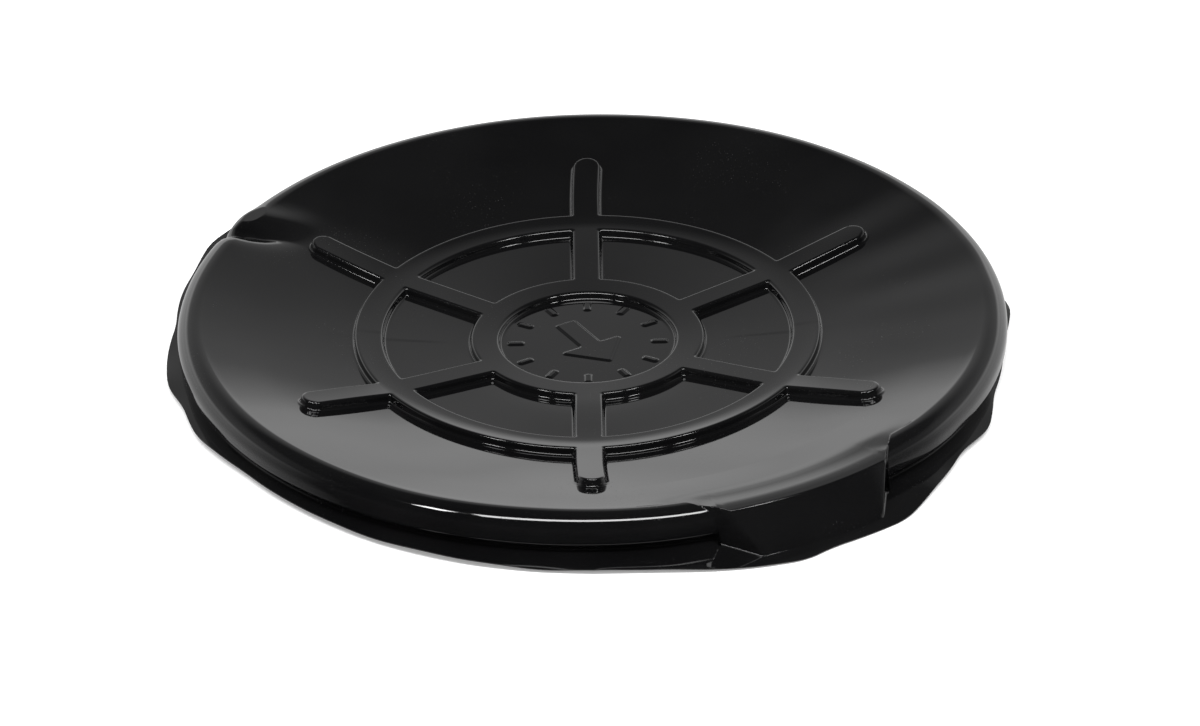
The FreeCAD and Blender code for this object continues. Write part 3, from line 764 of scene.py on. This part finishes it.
def gloss_sheet():
    """Glossy black formed sheet: faint colour drift, orange peel, hairline scratches and dust."""
    material, tree, shader = node_tree_material("gloss_black_sheet")
    position = tree.nodes.new("ShaderNodeTexCoord").outputs["Object"]
    drift = noise(tree, position, 9.0, 3.0)
    ramp = tree.nodes.new("ShaderNodeValToRGB")
    ramp.color_ramp.elements[0].position = 0.3
    ramp.color_ramp.elements[0].color = (0.0022, 0.0022, 0.0024, 1.0)
    ramp.color_ramp.elements[1].position = 0.75
    ramp.color_ramp.elements[1].color = (0.0042, 0.0042, 0.0044, 1.0)
    tree.links.new(drift, ramp.inputs["Fac"])

    dust = maths(tree, "GREATER_THAN", noise(tree, position, 900.0, 0.0), 0.795)
    patches = mapped(tree, noise(tree, position, 14.0, 2.0), 0.5, 0.68, 0.0, 1.0)
    dust = maths(tree, "MULTIPLY", dust, patches)
    mixed = tree.nodes.new("ShaderNodeMix")
    mixed.data_type = "RGBA"
    mixed.inputs["B"].default_value = (0.16, 0.16, 0.155, 1.0)
    tree.links.new(maths(tree, "MULTIPLY", dust, 0.1), mixed.inputs["Factor"])
    tree.links.new(ramp.outputs["Color"], mixed.inputs["A"])
    tree.links.new(mixed.outputs["Result"], shader.inputs["Base Color"])

    smudges = mapped(tree, noise(tree, position, 22.0, 4.0, 0.6, 0.4), 0.42, 0.72, 0.045, 0.085)
    scratches = None
    for turn, seed in ((0.4, 0.0), (1.3, 3.0), (2.5, 7.0)):
        lines = noise(tree, stretched(tree, position, turn, (900.0, 9.0 + seed, 9.0)), 1.0, 1.0)
        thin = mapped(tree, lines, 0.735, 0.78, 0.0, 0.05)
        scratches = thin if scratches is None else maths(tree, "ADD", scratches, thin)
    worn = tree.nodes.new("ShaderNodeAttribute")
    worn.attribute_name = "edge"
    rubbed = maths(tree, "MULTIPLY", worn.outputs["Fac"], mapped(tree, drift, 0.35, 0.7, 0.02, 0.07))
    roughness = maths(tree, "ADD", smudges, maths(tree, "ADD", scratches, rubbed))
    roughness = maths(tree, "ADD", roughness, maths(tree, "MULTIPLY", dust, 0.3))
    tree.links.new(roughness, shader.inputs["Roughness"])

    peel = noise(tree, position, 120.0, 2.0, 0.5)
    waves = noise(tree, position, 26.0, 1.0, 0.4)
    peel = maths(tree, "MULTIPLY", peel, 0.06)
    height = maths(tree, "ADD", peel, maths(tree, "MULTIPLY", waves, 0.5))
    height = maths(tree, "SUBTRACT", height, maths(tree, "MULTIPLY", scratches, 0.05))
    bump = tree.nodes.new("ShaderNodeBump")
    bump.inputs["Strength"].default_value = 0.05
    bump.inputs["Distance"].default_value = 0.0006
    tree.links.new(height, bump.inputs["Height"])
    tree.links.new(bump.outputs["Normal"], shader.inputs["Normal"])
    shader.inputs["IOR"].default_value = 1.5
    return material


def cut_edge():
    """The sawn edge of the flange: the same sheet, matt and a little paler, with saw marks."""
    material, tree, shader = node_tree_material("trimmed_edge")
    position = tree.nodes.new("ShaderNodeTexCoord").outputs["Object"]
    marks = noise(tree, stretched(tree, position, 0.0, (260.0, 260.0, 2400.0)), 1.0, 3.0, 0.65)
    ramp = tree.nodes.new("ShaderNodeValToRGB")
    ramp.color_ramp.elements[0].color = (0.008, 0.008, 0.008, 1.0)
    ramp.color_ramp.elements[1].color = (0.035, 0.035, 0.034, 1.0)
    tree.links.new(marks, ramp.inputs["Fac"])
    tree.links.new(ramp.outputs["Color"], shader.inputs["Base Color"])
    tree.links.new(mapped(tree, marks, 0.3, 0.7, 0.35, 0.62), shader.inputs["Roughness"])
    bump = tree.nodes.new("ShaderNodeBump")
    bump.inputs["Strength"].default_value = 0.4
    bump.inputs["Distance"].default_value = 0.0002
    tree.links.new(marks, bump.inputs["Height"])
    tree.links.new(bump.outputs["Normal"], shader.inputs["Normal"])
    return material


def floor_material():
    material, tree, shader = node_tree_material("pale_floor")
    shader.inputs["Base Color"].default_value = (0.86, 0.86, 0.86, 1.0)
    shader.inputs["Roughness"].default_value = 0.9
    shader.inputs["Specular IOR Level"].default_value = 0.0
    shader.inputs["Emission Color"].default_value = (1.0, 1.0, 1.0, 1.0)
    shader.inputs["Emission Strength"].default_value = 0.22
    return material


# ---------------------------------------------------------------- building the lid

rows, points = surface_points()
normals = grid_normals(points)
wear = edge_wear(points, normals)
sheet_materials = [gloss_sheet(), cut_edge()]
seam_rows = [rows.index(SEAMS[name]) for name in ("hub", "inner_wheel", "outer_wheel", "dish")]
cuts = seam_rows + [len(points) - 1]
names = ["inner_wheel", "outer_wheel", "dish", "rim_and_tab"]
normals[seam_rows[0]] = (0.0, 0.0, 1.0)
pieces = {"hub": hub_piece(points[seam_rows[0]], sheet_materials[:1])}
for name, first, last in zip(names, cuts[:-1], cuts[1:]):
    rim = name == "rim_and_tab"
    used = sheet_materials if rim else sheet_materials[:1]
    span = slice(first, last + 1)
    pieces[name] = ring_piece(name, points[span], normals[span], wear[span], used, rim)

STANDS_FOR = {
    "hub": ["hub_plate"],
    "inner_wheel": ["inner_ring_rib"] + [f"floor_panel_{n}" for n in range(1, 7)],
    "outer_wheel": ["outer_ring_rib"] + [f"spoke_rib_{n}" for n in range(1, 7)],
    "dish": ["dish_wall"],
    "rim_and_tab": ["rim_bead", "snap_groove", "trim_flange", "finger_tab"],
}
for name, piece in pieces.items():
    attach(piece, "root")
    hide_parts(*STANDS_FOR[name])


# ---------------------------------------------------------------- floor, light and camera

def stage_floor():
    half, gap = 30.0, 0.0004
    mesh = bpy.data.meshes.new("floor")
    corners = [(-half, -half, -gap), (half, -half, -gap), (half, half, -gap), (-half, half, -gap)]
    mesh.from_pydata(corners, [], [(0, 1, 2, 3)])
    mesh.materials.append(floor_material())
    floor = bpy.data.objects.new("floor", mesh)
    bpy.context.scene.collection.objects.link(floor)
    floor.visible_glossy = False


def studio_world():
    """A pale room. The gloss mirrors it bright low down behind, and dark overhead."""
    world = bpy.data.worlds.new("studio")
    world.use_nodes = True
    bpy.context.scene.world = world
    tree = world.node_tree
    background = tree.nodes["Background"]
    direction = tree.nodes.new("ShaderNodeTexCoord").outputs["Generated"]
    split = tree.nodes.new("ShaderNodeSeparateXYZ")
    tree.links.new(direction, split.inputs["Vector"])
    ramp = tree.nodes.new("ShaderNodeValToRGB")
    stops = [(0.0, 0.5), (0.474, 0.64), (0.5, 0.75), (0.57, 0.75), (0.604, 0.93), (0.629, 0.93),
             (0.679, 0.357), (0.75, 0.29), (0.80, 0.20), (0.84, 0.05), (0.92, 0.025), (1.0, 0.025)]
    while len(ramp.color_ramp.elements) < len(stops):
        ramp.color_ramp.elements.new(0.5)
    for element, (place, level) in zip(ramp.color_ramp.elements, stops):
        element.position = place
        element.color = (level, level, level, 1.0)
    tree.links.new(mapped(tree, split.outputs["Z"], -1.0, 1.0, 0.0, 1.0), ramp.inputs["Fac"])
    behind = mapped(tree, split.outputs["Y"], -0.25, 0.35, 0.06, 1.4)
    mirrored = maths(tree, "MULTIPLY", ramp.outputs["Color"], behind)
    rays = tree.nodes.new("ShaderNodeLightPath")
    plain = maths(tree, "SUBTRACT", 1.0, rays.outputs["Is Glossy Ray"])
    level = maths(tree, "ADD", maths(tree, "MULTIPLY", plain, 0.95),
                  maths(tree, "MULTIPLY", mirrored, rays.outputs["Is Glossy Ray"]))
    tree.links.new(level, background.inputs["Strength"])
    background.inputs["Color"].default_value = (1.0, 1.0, 1.0, 1.0)


def softbox(name, azimuth, elevation, distance, size, power):
    light = bpy.data.lights.new(name, "AREA")
    light.shape = "RECTANGLE"
    light.size, light.size_y = size
    light.energy = power
    lamp = bpy.data.objects.new(name, light)
    turn, rise = math.radians(azimuth), math.radians(elevation)
    away = Vector((math.cos(turn) * math.cos(rise), math.sin(turn) * math.cos(rise), math.sin(rise)))
    lamp.location = away * distance
    lamp.rotation_mode = "QUATERNION"
    lamp.rotation_quaternion = away.to_track_quat("Z", "Y")
    bpy.context.scene.collection.objects.link(lamp)


def studio_camera():
    """The photograph's view: from the front, 30 degrees above the horizon, rolled a little."""
    camera = bpy.data.cameras.new("camera")
    camera.sensor_width = 36.0
    camera.lens = 172.6
    camera.clip_start, camera.clip_end = 0.1, 100.0
    holder = bpy.data.objects.new("camera", camera)
    bpy.context.scene.collection.objects.link(holder)
    rise, roll, distance = math.radians(30.1), math.radians(-1.1), 4.2
    back = Vector((0.0, -math.cos(rise), math.sin(rise)))
    turned = back.to_track_quat("Z", "Y") @ Matrix.Rotation(roll, 3, "Z").to_quaternion()
    middle = Vector((0.0, 0.0, 0.0066))
    aside = turned @ Vector((0.00905, -0.020, 0.0))
    holder.rotation_mode = "QUATERNION"
    holder.rotation_quaternion = turned
    holder.location = middle + back * distance + aside
    bpy.context.scene.camera = holder


stage_floor()
studio_world()
softbox("front_softbox", -90.0, 64.0, 3.0, (2.4, 0.5), 68.0)
softbox("left_softbox", -145.0, 53.0, 3.0, (0.35, 0.35), 12.0)
softbox("right_softbox", -35.0, 53.0, 3.0, (0.35, 0.35), 12.0)
studio_camera()
bpy.context.scene.view_settings.view_transform = "Standard"
